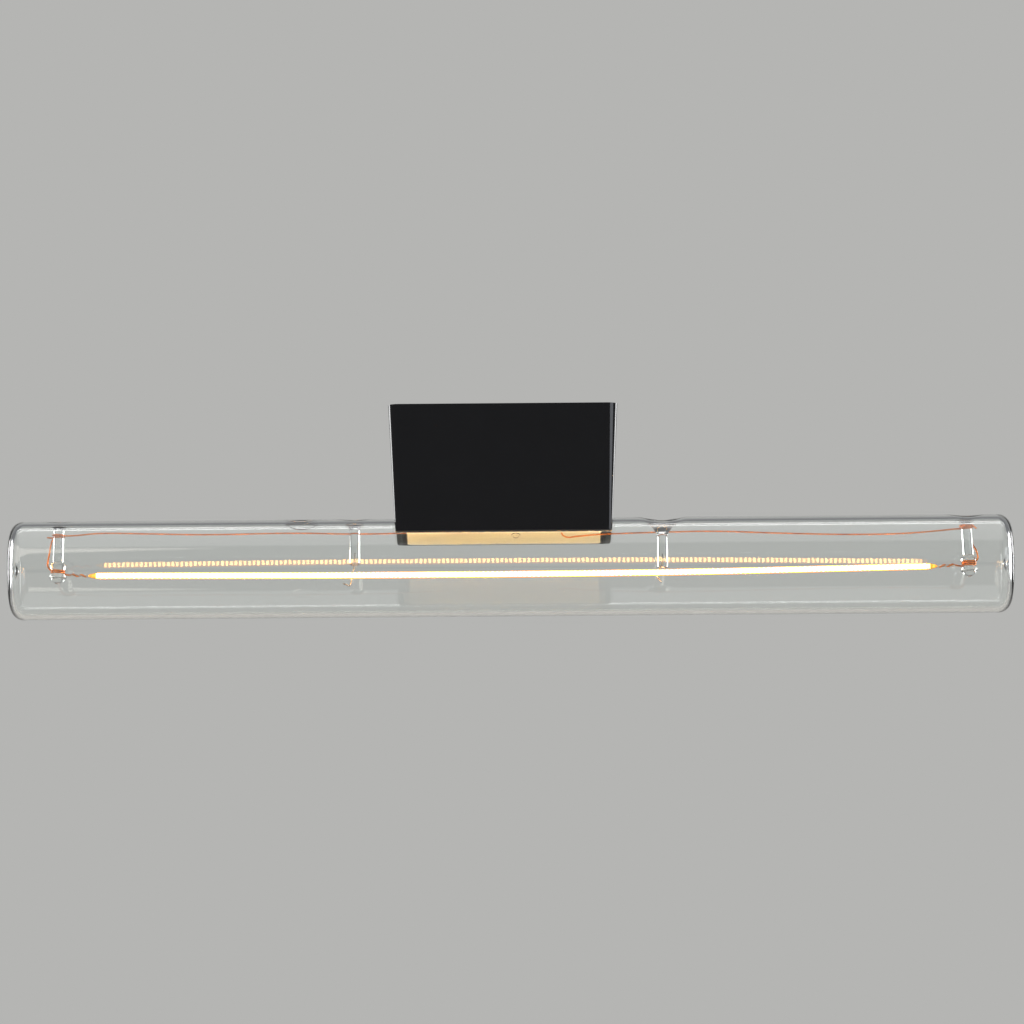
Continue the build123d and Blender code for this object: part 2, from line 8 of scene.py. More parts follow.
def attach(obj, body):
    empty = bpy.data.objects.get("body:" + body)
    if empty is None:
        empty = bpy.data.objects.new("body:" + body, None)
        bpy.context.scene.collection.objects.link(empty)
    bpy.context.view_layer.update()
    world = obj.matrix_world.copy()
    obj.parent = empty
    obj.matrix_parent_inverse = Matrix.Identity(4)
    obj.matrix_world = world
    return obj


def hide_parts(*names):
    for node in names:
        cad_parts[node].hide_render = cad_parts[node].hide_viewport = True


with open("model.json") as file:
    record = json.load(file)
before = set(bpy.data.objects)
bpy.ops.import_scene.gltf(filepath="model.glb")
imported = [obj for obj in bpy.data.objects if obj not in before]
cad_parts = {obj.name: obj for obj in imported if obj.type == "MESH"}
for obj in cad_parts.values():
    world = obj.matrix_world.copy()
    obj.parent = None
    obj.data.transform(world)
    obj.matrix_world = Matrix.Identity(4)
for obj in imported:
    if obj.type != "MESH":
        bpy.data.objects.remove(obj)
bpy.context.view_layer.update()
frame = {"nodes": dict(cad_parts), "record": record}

# Tubular filament lamp in its holder. Pieces are drawn in millimetres in the part's own frame
# and become metres in addPiece.

mm = 0.001
scene = bpy.context.scene
nodes = frame["nodes"]
print("frame loaded,", len(nodes), "nodes")


def srgb(hexColour):
    shares = [int(hexColour[i:i + 2], 16) / 255 for i in (0, 2, 4)]
    return (*[c / 12.92 if c <= 0.04045 else ((c + 0.055) / 1.055) ** 2.4 for c in shares], 1.0)


def addNode(tree, kind, inputs=None, **settings):
    # an input is a plain value, or the output socket that feeds it
    node = tree.nodes.new("ShaderNode" + kind)
    for name, value in settings.items():
        setattr(node, name, value)
    for name, value in (inputs or {}).items():
        if isinstance(value, bpy.types.NodeSocket):
            tree.links.new(value, node.inputs[name])
        else:
            node.inputs[name].default_value = value
    return node


def startMaterial(name):
    material = bpy.data.materials.new(name)
    material.use_nodes = True
    material.node_tree.nodes.clear()
    return material, material.node_tree


def perSize(millimetres):
    # texture scale whose pattern repeats about once in that size
    return 1 / (millimetres * mm)


def addPiece(name, mesh, body, slotName, node):
    # piece with the finish of its slot, in place of one node
    mesh.transform(Matrix.Scale(mm, 4))
    mesh.shade_smooth()
    mesh.materials.clear()
    mesh.materials.append(finishes[slotName])
    piece = bpy.data.objects.new(name, mesh)
    scene.collection.objects.link(piece)
    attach(piece, body)
    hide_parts(node)


def meshFrom(bm, name):
    mesh = bpy.data.meshes.new(name)
    bm.to_mesh(mesh)
    bm.free()
    return mesh


def drawOn(bm, ring, edges):
    # draws an open rim one step on; its new vertices come in the same order
    grown = bmesh.ops.extrude_edge_only(bm, edges=edges)["geom"]
    fresh = {item for item in grown if isinstance(item, bmesh.types.BMVert)}
    follow = {}
    for vert in fresh:
        for edge in vert.link_edges:
            follow[edge.other_vert(vert)] = vert
    rim = [item for item in grown if isinstance(item, bmesh.types.BMEdge) and set(item.verts) <= fresh]
    return [follow[vert] for vert in ring], rim


# Camera

view = {
    "aim": (2.5, 0.0, -30.4),
    "distance": 1444.5,     # from the aim
    "elevation": -6.8,      # degrees, from below
    "roll": 0.46,           # degrees, right end higher
    "lens": 170.0,
}


def addCamera():
    lens = bpy.data.cameras.new("camera")
    lens.lens = view["lens"]
    lens.sensor_width = 36.0
    lens.clip_end = 20.0
    camera = bpy.data.objects.new("camera", lens)
    scene.collection.objects.link(camera)
    up = math.radians(view["elevation"])
    aim = Vector(view["aim"]) * mm
    away = Vector((0, -math.cos(up), math.sin(up))) * view["distance"] * mm
    turn = (-away).to_track_quat("-Z", "Y").to_matrix().to_4x4()
    roll = Matrix.Rotation(math.radians(-view["roll"]), 4, "Z")
    camera.matrix_world = Matrix.Translation(aim + away) @ turn @ roll
    scene.camera = camera


addCamera()


# Stage: pale floor, graded grey surround, soft lamps; places and sizes in metres

stage = {
    "floorZ": -0.30,
    "floorRadius": 2.4,
    "floorFade": (0.35, 0.98),          # share of the radius where it starts to fade, and is gone
    "floorColour": ("dedbd4", "d6d3cc"),
    "surround": ("747578", "b5b5b3"),   # all round, and behind the object
    "paleMiddle": 7.0,                  # degrees up from level
    "paleReach": (0.97, 0.78),          # cosine from that middle where it starts to darken, and ends
    "lampAim": (0.0, 0.0, -0.03),
}
lamps = {
    "keySoftbox": {"place": (-1.1, -1.3, 1.0), "size": (1.7, 1.4), "power": 16.0, "colour": "fff8ef"},
    "overheadSoftbox": {"place": (0.0, -0.2, 1.6), "size": (2.0, 2.0), "power": 10.0, "colour": "ffffff"},
    "fillSoftbox": {"place": (1.5, -1.0, 0.2), "size": (1.2, 1.2), "power": 9.0, "colour": "f2f6ff"},
    "topStrip": {"place": (0.0, 0.30, 0.80), "size": (1.3, 0.06), "power": 1.0, "colour": "ffffff"},
    "leftRim": {"place": (-2.6, 1.8, 0.45), "size": (1.4, 1.4), "power": 38.0, "colour": "ffffff"},
    "rightRim": {"place": (2.6, 1.8, 0.45), "size": (1.4, 1.4), "power": 38.0, "colour": "ffffff"},
}


def studioSurround():
    world = bpy.data.worlds.new("studioSurround")
    scene.world = world
    world.use_nodes = True
    tree = world.node_tree
    tree.nodes.clear()
    direction = addNode(tree, "TexCoord").outputs["Generated"]
    up = math.radians(stage["paleMiddle"])
    middle = (0, math.cos(up), math.sin(up))
    near = addNode(tree, "VectorMath", {0: direction, 1: middle},
                   operation="DOT_PRODUCT").outputs["Value"]
    start, end = stage["paleReach"]
    share = addNode(tree, "MapRange", {"Value": near, "From Min": start, "From Max": end},
                    interpolation_type="SMOOTHSTEP").outputs[0]
    dark, pale = (srgb(colour) for colour in stage["surround"])
    colour = addNode(tree, "Mix", {"Factor": share, "A": pale, "B": dark}, data_type="RGBA")
    glow = addNode(tree, "Background", {"Color": colour.outputs[2], "Strength": 1.0})
    addNode(tree, "OutputWorld", {"Surface": glow.outputs[0]})


def paleFloorMaterial():
    # matt painted board, seen only from above, fading into the surround at its rim
    material, tree = startMaterial("paleFloorPaint")
    place = addNode(tree, "TexCoord").outputs["Object"]
    grain = addNode(tree, "TexNoise", {"Vector": place, "Scale": perSize(60), "Detail": 4.0})
    pale, shade = (srgb(colour) for colour in stage["floorColour"])
    tint = addNode(tree, "Mix", {"Factor": grain.outputs[0], "A": pale, "B": shade}, data_type="RGBA")
    paint = addNode(tree, "BsdfPrincipled", {"Base Color": tint.outputs[2], "Roughness": 0.8})
    clear = addNode(tree, "BsdfTransparent")
    reach = addNode(tree, "VectorMath", {0: place}, operation="LENGTH").outputs["Value"]
    start, end = (stage["floorRadius"] * part for part in stage["floorFade"])
    fade = addNode(tree, "MapRange", {"Value": reach, "From Min": start, "From Max": end},
                   interpolation_type="SMOOTHSTEP").outputs[0]
    under = addNode(tree, "NewGeometry").outputs["Backfacing"]
    gone = addNode(tree, "Math", {0: fade, 1: under}, operation="MAXIMUM").outputs[0]
    both = addNode(tree, "MixShader", {0: gone, 1: paint.outputs[0], 2: clear.outputs[0]})
    addNode(tree, "OutputMaterial", {"Surface": both.outputs[0]})
    return material


def addStage():
    studioSurround()
    bm = bmesh.new()
    bmesh.ops.create_circle(bm, cap_ends=True, segments=64, radius=stage["floorRadius"])
    bmesh.ops.translate(bm, verts=bm.verts, vec=(0, 0, stage["floorZ"]))
    floorMesh = meshFrom(bm, "floor")
    floorMesh.materials.append(paleFloorMaterial())
    floor = bpy.data.objects.new("floor", floorMesh)
    scene.collection.objects.link(floor)
    aim = Vector(stage["lampAim"])
    for name, lamp in lamps.items():
        light = bpy.data.lights.new(name, "AREA")
        light.shape = "RECTANGLE"
        light.size, light.size_y = lamp["size"]
        light.energy = lamp["power"]
        light.color = srgb(lamp["colour"])[:3]
        softbox = bpy.data.objects.new(name, light)
        scene.collection.objects.link(softbox)
        place = Vector(lamp["place"])
        turn = (aim - place).to_track_quat("-Z", "Y").to_matrix().to_4x4()
        softbox.matrix_world = Matrix.Translation(place) @ turn
        softbox.visible_camera = False
    scene.view_settings.view_transform = "Standard"
    print("stage and", len(lamps), "soft lamps")


addStage()


# Materials

def clearTubeGlass():
    # drawn soda-lime glass: clear, hard bright reflections, long faint draw lines
    material, tree = startMaterial("drawnSodaLimeGlass")
    place = addNode(tree, "TexCoord").outputs["Object"]
    along = addNode(tree, "Mapping", {"Vector": place, "Scale": (0.08, 1.0, 1.0)}).outputs[0]
    draw = addNode(tree, "TexNoise", {"Vector": along, "Scale": perSize(7), "Detail": 2.0})
    waves = addNode(tree, "Bump", {"Height": draw.outputs[0], "Strength": 0.12, "Distance": 0.06 * mm})
    glass = addNode(tree, "BsdfPrincipled", {
        "Base Color": srgb("fbfdfc"),
        "Roughness": 0.0,
        "IOR": 1.52,
        "Transmission Weight": 1.0,
        "Normal": waves.outputs[0],
    })
    clear = addNode(tree, "BsdfTransparent", {"Color": srgb("f4f8f6")})
    fromLamp = addNode(tree, "LightPath").outputs["Is Shadow Ray"]
    both = addNode(tree, "MixShader", {0: fromLamp, 1: glass.outputs[0], 2: clear.outputs[0]})
    addNode(tree, "OutputMaterial", {"Surface": both.outputs[0]})
    return material


def polishedBlackMoulding():
    # polished black polycarbonate: sharp reflections, slow waves of the mould, a little haze from hands
    material, tree = startMaterial("polishedBlackPolycarbonate")
    place = addNode(tree, "TexCoord").outputs["Object"]
    haze = addNode(tree, "TexNoise", {
        "Vector": place, "Scale": perSize(16), "Detail": 5.0, "Roughness": 0.6,
    })
    rough = addNode(tree, "MapRange", {
        "Value": haze.outputs[0], "From Min": 0.35, "From Max": 0.75, "To Min": 0.05, "To Max": 0.15,
    }).outputs[0]
    mould = addNode(tree, "TexNoise", {"Vector": place, "Scale": perSize(9), "Detail": 1.0})
    waves = addNode(tree, "Bump", {"Height": mould.outputs[0], "Strength": 0.15, "Distance": 0.05 * mm})
    tint = addNode(tree, "Mix", {"Factor": haze.outputs[0], "A": srgb("09090a"), "B": srgb("111113")},
                   data_type="RGBA")
    shell = addNode(tree, "BsdfPrincipled", {
        "Base Color": tint.outputs[2],
        "Roughness": rough,
        "IOR": 1.58,
        "Normal": waves.outputs[0],
    })
    addNode(tree, "OutputMaterial", {"Surface": shell.outputs[0]})
    return material


def mouldedPlastic(name, pale, shade, rough, grit, ior):
    # moulded plastic: fine spark-eroded texture and slow change of tone
    material, tree = startMaterial(name)
    place = addNode(tree, "TexCoord").outputs["Object"]
    tone = addNode(tree, "TexNoise", {"Vector": place, "Scale": perSize(11), "Detail": 4.0})
    tint = addNode(tree, "Mix", {"Factor": tone.outputs[0], "A": srgb(pale), "B": srgb(shade)},
                   data_type="RGBA")
    spark = addNode(tree, "TexNoise", {"Vector": place, "Scale": perSize(grit), "Detail": 3.0})
    texture = addNode(tree, "Bump", {"Height": spark.outputs[0], "Strength": 0.35, "Distance": 0.03 * mm})
    gloss = addNode(tree, "MapRange", {
        "Value": tone.outputs[0], "To Min": rough - 0.08, "To Max": rough + 0.08,
    }).outputs[0]
    body = addNode(tree, "BsdfPrincipled", {
        "Base Color": tint.outputs[2],
        "Roughness": gloss,
        "IOR": ior,
        "Normal": texture.outputs[0],
    })
    addNode(tree, "OutputMaterial", {"Surface": body.outputs[0]})
    return material


def workedMetal(name, bright, dull, rough, streak, stretch):
    # drawn, rolled or turned metal: fine streaks along the way it was worked, duller where it has aged
    material, tree = startMaterial(name)
    place = addNode(tree, "TexCoord").outputs["Object"]
    way = addNode(tree, "Mapping", {"Vector": place, "Scale": stretch}).outputs[0]
    lines = addNode(tree, "TexNoise", {"Vector": way, "Scale": perSize(streak), "Detail": 3.0})
    age = addNode(tree, "TexNoise", {"Vector": place, "Scale": perSize(3.5), "Detail": 4.0})
    aged = addNode(tree, "MapRange", {
        "Value": age.outputs[0], "From Min": 0.42, "From Max": 0.72,
    }).outputs[0]
    tint = addNode(tree, "Mix", {"Factor": aged, "A": srgb(bright), "B": srgb(dull)}, data_type="RGBA")
    gloss = addNode(tree, "MapRange", {
        "Value": lines.outputs[0], "To Min": rough - 0.1, "To Max": rough + 0.12,
    }).outputs[0]
    grooves = addNode(tree, "Bump", {"Height": lines.outputs[0], "Strength": 0.3, "Distance": 0.02 * mm})
    metal = addNode(tree, "BsdfPrincipled", {
        "Base Color": tint.outputs[2],
        "Metallic": 1.0,
        "Roughness": gloss,
        "Normal": grooves.outputs[0],
    })
    addNode(tree, "OutputMaterial", {"Surface": metal.outputs[0]})
    return material


filament = {
    "width": 1.6,
    "height": 1.9,
    "ends": (-123.9, 129.15),
    "taper": 3.3,               # narrowing length at each end
    "tipShare": 0.34,           # of the width and height, left at the tip
    "unlit": 0.58,              # share of the taper past the last chip
    "knots": ((-122.3, -1.6), (-44.5, -2.05), (47.3, -1.9), (128.9, -0.7)),     # x, height from the axis
    "chipPitch": 1.37,
    "chipEdge": (0.30, 0.14),   # share of the pitch from a chip's middle where light ends, and is full
    "everyOtherChip": 0.55,     # share of light, beside the brighter ones
    "coreEdge": (0.82, 0.66),   # share of the half height where the white core ends, and is full
    "chipGlow": 250.0,
    "bodyGlow": 70.0,
    "rimGlow": 1.6,
    "rearChipGlow": 140.0,
    "rearBodyGlow": 3.0,
    "tipGlow": 0.01,            # share of light left in the unlit ends
}


def litPhosphorSilicone():
    # silicone loaded with yellow phosphor over a row of lit chips: white-hot along the chips, amber
    # at its rims and its unlit ends, dotted behind. "rise" runs from -1 to 1 over the strip's height,
    # "back" is 1 behind, "lit" is 0 at the ends
    material, tree = startMaterial("litPhosphorSilicone")
    place = addNode(tree, "TexCoord").outputs["Object"]
    along = addNode(tree, "SeparateXYZ", {"Vector": place}).outputs["X"]
    step = addNode(tree, "Math", {0: along, 1: perSize(filament["chipPitch"])}, operation="MULTIPLY")
    inStep = addNode(tree, "Math", {0: step.outputs[0]}, operation="FRACT").outputs[0]
    offChip = addNode(tree, "Math", {0: inStep, 1: 0.5}, operation="SUBTRACT").outputs[0]
    offChip = addNode(tree, "Math", {0: offChip}, operation="ABSOLUTE").outputs[0]
    dark, full = filament["chipEdge"]
    onChip = addNode(tree, "MapRange", {"Value": offChip, "From Min": dark, "From Max": full},
                     interpolation_type="SMOOTHSTEP").outputs[0]
    pair = addNode(tree, "Math", {0: step.outputs[0], 1: 2.0}, operation="FLOORED_MODULO").outputs[0]
    odd = addNode(tree, "Math", {0: pair, 1: 1.0}, operation="GREATER_THAN").outputs[0]
    share = addNode(tree, "MapRange", {
        "Value": odd, "To Min": filament["everyOtherChip"], "To Max": 1.0,
    }).outputs[0]
    onChip = addNode(tree, "Math", {0: onChip, 1: share}, operation="MULTIPLY").outputs[0]
    rise = addNode(tree, "Attribute", attribute_name="rise").outputs["Fac"]
    rise = addNode(tree, "Math", {0: rise}, operation="ABSOLUTE").outputs[0]
    dark, full = filament["coreEdge"]
    core = addNode(tree, "MapRange", {"Value": rise, "From Min": dark, "From Max": full},
                   interpolation_type="SMOOTHSTEP").outputs[0]
    lit = addNode(tree, "Attribute", attribute_name="lit").outputs["Fac"]
    chips = addNode(tree, "Math", {0: onChip, 1: core}, operation="MULTIPLY").outputs[0]
    front = addNode(tree, "MapRange", {
        "Value": chips, "To Min": filament["bodyGlow"], "To Max": filament["chipGlow"],
    }).outputs[0]
    behind = addNode(tree, "MapRange", {
        "Value": chips, "To Min": filament["rearBodyGlow"], "To Max": filament["rearChipGlow"],
    }).outputs[0]
    back = addNode(tree, "Attribute", attribute_name="back").outputs["Fac"]
    inner = addNode(tree, "Mix", {"Factor": back, "A": front, "B": behind}).outputs[0]
    glow = addNode(tree, "Mix", {"Factor": core, "A": filament["rimGlow"], "B": inner}).outputs[0]
    glow = addNode(tree, "Math", {0: glow, 1: lit}, operation="MULTIPLY").outputs[0]
    chip = addNode(tree, "Mix", {"Factor": back, "A": srgb("ffe2b0"), "B": srgb("ffdc88")},
                   data_type="RGBA")
    hot = addNode(tree, "Mix", {"Factor": chips, "A": srgb("ffb050"), "B": chip.outputs[2]},
                  data_type="RGBA")
    whole = addNode(tree, "Math", {0: core, 1: lit}, operation="MULTIPLY").outputs[0]
    warm = addNode(tree, "Mix", {"Factor": whole, "A": srgb("ff9020"), "B": hot.outputs[2]},
                   data_type="RGBA")
    grain = addNode(tree, "TexNoise", {"Vector": place, "Scale": perSize(0.6), "Detail": 2.0})
    tint = addNode(tree, "Mix", {"Factor": grain.outputs[0], "A": srgb("f3b44a"), "B": srgb("e29a2c")},
                   data_type="RGBA")
    body = addNode(tree, "BsdfPrincipled", {
        "Base Color": tint.outputs[2],
        "Roughness": 0.45,
        "IOR": 1.41,
        "Emission Color": warm.outputs[2],
        "Emission Strength": glow,
    })
    addNode(tree, "OutputMaterial", {"Surface": body.outputs[0]})
    return material


# moulded: pale and shade, roughness, grit in mm, IOR; worked: bright and dull, roughness, streak in mm
# and its stretch along x, y and z
finishes = {
    "clear_glass": clearTubeGlass(),
    "black_gloss": polishedBlackMoulding(),
    "phosphor_silicone": litPhosphorSilicone(),
    "white_plastic": mouldedPlastic("whitePbtMoulding", "ebe7db", "e2dccd", 0.42, 0.5, 1.55),
    "cream_thermoset": mouldedPlastic("creamUreaMoulding", "dbd0b4", "cfc2a3", 0.5, 0.4, 1.55),
    "component_black": mouldedPlastic("blackEpoxyMoulding", "2b2b2d", "232325", 0.6, 0.3, 1.55),
    "resistor_coat": mouldedPlastic("dippedLacquer", "8fa69e", "829a92", 0.4, 0.6, 1.5),
    "circuit_board": mouldedPlastic("greenSolderMask", "1f6a3c", "185a31", 0.35, 0.8, 1.5),
    "bronze_spring": workedMetal("rolledSpringBronze", "d3a06a", "a8743f", 0.3, 0.5, (1.0, 1.0, 0.1)),
    "zinc_steel": workedMetal("zincPlatedSteel", "c9ccd0", "a9adb2", 0.38, 0.6, (1.0, 1.0, 1.0)),
    "spring_steel": workedMetal("rolledSpringSteel", "b9b8b4", "97958f", 0.3, 0.5, (1.0, 1.0, 0.08)),
    "plated_tab": workedMetal("platedSteelTab", "cfccc4", "b3aea3", 0.3, 0.4, (0.2, 1.0, 1.0)),
    "copper_wire": workedMetal("drawnCopperWire", "e08a4e", "b26330", 0.3, 0.3, (0.1, 1.0, 1.0)),
    "hook_wire": workedMetal("drawnMolybdenumWire", "a7a5a4", "807d7b", 0.32, 0.3, (1.0, 1.0, 0.1)),
    "brass_pin": workedMetal("turnedBrass", "d8ba7c", "b8975a", 0.26, 0.25, (1.0, 1.0, 6.0)),
    "aluminium_can": workedMetal("drawnAluminiumCan", "d6d8da", "bfc2c5", 0.3, 0.4, (1.0, 1.0, 0.1)),
}
for subpart in frame["record"]["subparts"]:
    for socket in nodes[subpart["node"]].material_slots:
        socket.material = finishes[subpart["material_slot"]]
print("finishes made,", len(finishes))


# Glass tube with its fused posts, lead seats and seal scar, one piece

tube = {
    "middle": 2.0,
    "axis": -47.0,
    "length": 300.0,
    "radius": 14.7,
    "wall": 1.2,
    "endDome": 1.5,                 # height
    "shoulder": 4.0,                # radius between side and end
    "pipRise": 1.7,                 # bead left by the flame inside each end
    "pipSpread": 1.2,
    "around": 96,                   # corners
    "fineStep": 0.75,               # between rings near a post
    "coarseStep": 8.0,
    "stepGrowth": 0.6,              # of the way to the nearest post
    "fineMargin": 1.5,              # past a dimple
    "straightEnds": (3.0, 1.0),     # from the shoulders to the first ring and the last
}
post = {
    "radius": 1.6,
    "bead": (2.4, 1.25),            # radius, height from the axis
    "waist": (1.5, 0.1, -0.85),     # radius, top and bottom
    "drop": (2.6, -1.9, -4.05),     # radius, height of the widest place, tip
    "dropTaper": (0.3, 0.42),       # share of the radius lost towards the tip, straight and curved
    "dropBlunt": 0.25,              # height of the round tip
    "settle": 0.2,                  # short ring that keeps the shaft straight beside a curve
}
# reach: radius of the dimple outside; tip: height from the axis and length of the fire-rounded end
posts = {
    "leftEnd": {"x": -132.7, "foot": 0.9, "dimple": 0.25, "reach": 4.0, "lean": -1.5, "tip": None},
    "leftMiddle": {"x": -44.5, "foot": 1.7, "dimple": 0.3, "reach": 5.0, "lean": 0.0, "tip": (0.5, 1.6)},
    "rightMiddle": {"x": 47.3, "foot": 3.4, "dimple": 1.5, "reach": 8.0, "lean": 0.0, "tip": (-0.7, 0.6)},
    "rightEnd": {"x": 137.9, "foot": 1.0, "dimple": 0.7, "reach": 6.0, "lean": 3.1, "tip": None},
}
# reach: how far to each side the wall's rings are close together; turn: degrees from the top to the rear
leadSeat = {"x": 17.0, "reach": 3.5, "radius": 2.2, "tipRadius": 0.85, "drop": 1.35}
sealScar = {"x": -60.4, "reach": 7.0, "turn": 0.0, "radius": 4.4, "width": 0.9, "rise": 0.28}
exhaustMark = {"x": 3.6, "reach": 3.5, "turn": 37.0, "radius": 1.15, "width": 0.5, "rise": 0.3}
rimMargin = 0.7     # wall left between a piece's foot and the opened faces


def dimpleDrop(x, y):
    drop = 0.0
    for one in posts.values():
        near = 1 - ((x - one["x"]) ** 2 + y ** 2) / one["reach"] ** 2
        drop += one["dimple"] * max(near, 0.0) ** 2
    return drop


def wallTop(x, y, radius):
    return tube["axis"] + math.sqrt(max(radius ** 2 - y ** 2, 0.0)) - dimpleDrop(x, y)


def ringPlaces(first, last):
    # close together near what is fused to the wall, far apart elsewhere
    features = [(one["x"], one["reach"] + tube["fineMargin"]) for one in posts.values()]
    features += [(one["x"], one["reach"]) for one in (leadSeat, sealScar, exhaustMark)]
    features.append((-leadSeat["x"], leadSeat["reach"]))
    places = []
    x = first
    while x < last:
        places.append(x)
        gap = min(max(abs(x - centre) - reach, 0.0) for centre, reach in features)
        x += min(max(gap * tube["stepGrowth"], tube["fineStep"]), tube["coarseStep"])
    return places


def closedTube(inset, pip):
    # spun from the half outline between the middles of the two domed ends
    radius = tube["radius"] - inset
    half = tube["length"] / 2 - inset
    shoulder = tube["shoulder"] - inset
    dome = (radius ** 2 + tube["endDome"] ** 2) / (2 * tube["endDome"])
    domeX = dome - half
    shoulderX = domeX - math.sqrt((dome - shoulder) ** 2 - (radius - shoulder) ** 2)
    meet = math.atan2(radius - shoulder, shoulderX - domeX)
    end = []
    domeSteps = 16
    crowding = 1.6      # rings lie closer together towards the bead in the middle
    for step in range(domeSteps):
        turn = math.pi - (math.pi - meet) * (step / domeSteps) ** crowding
        across = dome * math.sin(turn)
        bead = pip * math.exp(-(across / tube["pipSpread"]) ** 2)
        end.append((domeX + dome * math.cos(turn) + bead, across))
    shoulderSteps = 12
    for step in range(shoulderSteps + 1):
        turn = meet + (math.pi / 2 - meet) * step / shoulderSteps
        end.append((shoulderX + shoulder * math.cos(turn), radius - shoulder + shoulder * math.sin(turn)))
    first, last = tube["straightEnds"]
    straight = ringPlaces(tube["middle"] + shoulderX + first, tube["middle"] - shoulderX - last)
    outline = [(tube["middle"] + x, r) for x, r in end]
    outline += [(x, radius) for x in straight]
    outline += [(tube["middle"] - x, r) for x, r in reversed(end)]
    bm = bmesh.new()
    line = [bm.verts.new((x, 0, tube["axis"] + r)) for x, r in outline]
    edges = [bm.edges.new(pair) for pair in zip(line, line[1:])]
    bmesh.ops.spin(bm, geom=line + edges, cent=(0, 0, tube["axis"]), axis=(1, 0, 0), dvec=(0, 0, 0),
                   angle=2 * math.pi, steps=tube["around"], use_merge=True)
    bmesh.ops.remove_doubles(bm, verts=bm.verts, dist=0.001)
    bmesh.ops.recalc_face_normals(bm, faces=bm.faces)
    for vert in bm.verts:
        if vert.co.z > tube["axis"]:
            vert.co.z -= dimpleDrop(vert.co.x, vert.co.y)
    return bm


def drawFromWall(bm, x, radius, mouth, rings, lean, tip):
    # opens the top wall round x and draws the rim through rings of (radius, depth, hold), where hold
    # is 1 on the wall and 0 on a straight shaft, then closes it at the tip's depth
    opened = []
    for face in bm.faces:
        middle = face.calc_center_median()
        if middle.z > tube["axis"] and math.hypot(middle.x - x, middle.y) < mouth:
            opened.append(face)
    bmesh.ops.delete(bm, geom=opened, context="FACES")
    rim = [edge for edge in bm.edges if edge.is_boundary]
    around = list({vert for edge in rim for vert in edge.verts})
    around.sort(key=lambda vert: math.atan2(vert.co.y, vert.co.x - x))
    for vert in around:
        turn = math.atan2(vert.co.y, vert.co.x - x)
        vert.co.x = x + mouth * math.cos(turn)
        vert.co.y = mouth * math.sin(turn)
        vert.co.z = wallTop(vert.co.x, vert.co.y, radius)
    slant = math.radians(lean)
    down = Vector((math.sin(slant), 0, -math.cos(slant)))
    side = Vector((math.cos(slant), 0, math.sin(slant)))
    root = Vector((x, 0, wallTop(x, 0, radius)))
    firstTurn = math.atan2(around[0].co.y, around[0].co.x - x)
    for ringRadius, depth, hold in rings:
        around, rim = drawOn(bm, around, rim)
        for number, vert in enumerate(around):
            turn = firstTurn + 2 * math.pi * number / len(around)
            out = side * math.cos(turn) + Vector((0, math.sin(turn), 0))
            point = root + down * depth + out * ringRadius
            onWall = wallTop(point.x, point.y, radius) - depth
            point.z += (onWall - point.z) * hold
            vert.co = point
    bmesh.ops.pointmerge(bm, verts=around, merge_co=root + down * tip)


def footRings(one):
    # hollow curve from the wall to the shaft
    rings = []
    steps = 6
    for step in range(steps + 1):
        turn = math.pi / 2 * step / steps
        radius = post["radius"] + one["foot"] * (1 - math.sin(turn))
        rings.append((radius, one["foot"] * (1 - math.cos(turn)), 1 - step / steps))
    return rings + [(post["radius"], one["foot"] + post["settle"], 0.0)]


def endPostRings(level):
    # bead, waist for the wire, and a drop at the tip, below a straight shaft
    beadRadius, beadHeight = post["bead"]
    waistRadius, waistTop, waistBottom = post["waist"]
    dropRadius, dropHeight, tip = post["drop"]
    straight, curved = post["dropTaper"]
    blunt = post["dropBlunt"]
    rings = [(post["radius"], level - (2 * beadHeight - waistTop) - post["settle"], 0.0)]
    beadSteps = 10
    for step in range(beadSteps + 1):
        part = step / beadSteps
        plain = post["radius"] + (waistRadius - post["radius"]) * part
        swell = (beadRadius - plain) * math.sin(math.pi * part) ** 1.3
        height = beadHeight + (beadHeight - waistTop) * math.cos(math.pi * part)
        rings.append((plain + swell, level - height, 0.0))
    first = math.asin(waistRadius / dropRadius)
    swellSteps = 4
    for step in range(swellSteps + 1):
        turn = first + (math.pi / 2 - first) * step / swellSteps
        height = dropHeight + (waistBottom - dropHeight) * math.cos(turn) / math.cos(first)
        rings.append((dropRadius * math.sin(turn), level - height, 0.0))
    tipSteps = 9
    for step in range(1, tipSteps + 1):
        part = step / tipSteps
        height = dropHeight + (tip + blunt - dropHeight) * part
        rings.append((dropRadius * (1 - straight * part - curved * part ** 2), level - height, 0.0))
    end = rings[-1][0]
    for turn in (0.5, 1.0):
        rings.append((end * math.cos(turn), level - tip - blunt * (1 - math.sin(turn)), 0.0))
    return rings, level - tip


def middlePostRings(level, tip, rounding):
    # straight to a fire-rounded end
    end = level - tip
    rings = [(post["radius"], end - rounding - post["settle"], 0.0)]
    steps = 8
    for step in range(steps):
        turn = math.pi / 2 * step / steps
        rings.append((post["radius"] * math.cos(turn), end - rounding * (1 - math.sin(turn)), 0.0))
    return rings, end


def markRings(mark):
    # low round ridge on the inside of the wall, with a flat ring beside it on both sides
    radius, half = mark["radius"], mark["width"] / 2
    flat = half * 1.6
    rings = [(radius + flat, 0.0, 1.0)]
    steps = 8
    for step in range(steps + 1):
        turn = math.pi * step / steps
        rings.append((radius + half * math.cos(turn), mark["rise"] * math.sin(turn), 1.0))
    return rings + [(radius - flat, 0.0, 1.0), (radius * 0.4, 0.0, 1.0)]


def seatRings():
    # short cone of glass round a lead wire, slack at the wall and nearly straight at the tip
    radius, tipRadius, drop = leadSeat["radius"], leadSeat["tipRadius"], leadSeat["drop"]
    rings = [(radius, 0.0, 1.0), (radius * 0.75, drop * 0.3, 0.6)]
    return rings + [(tipRadius, drop * 0.85, 0.0), (tipRadius * 0.6, drop, 0.0)]


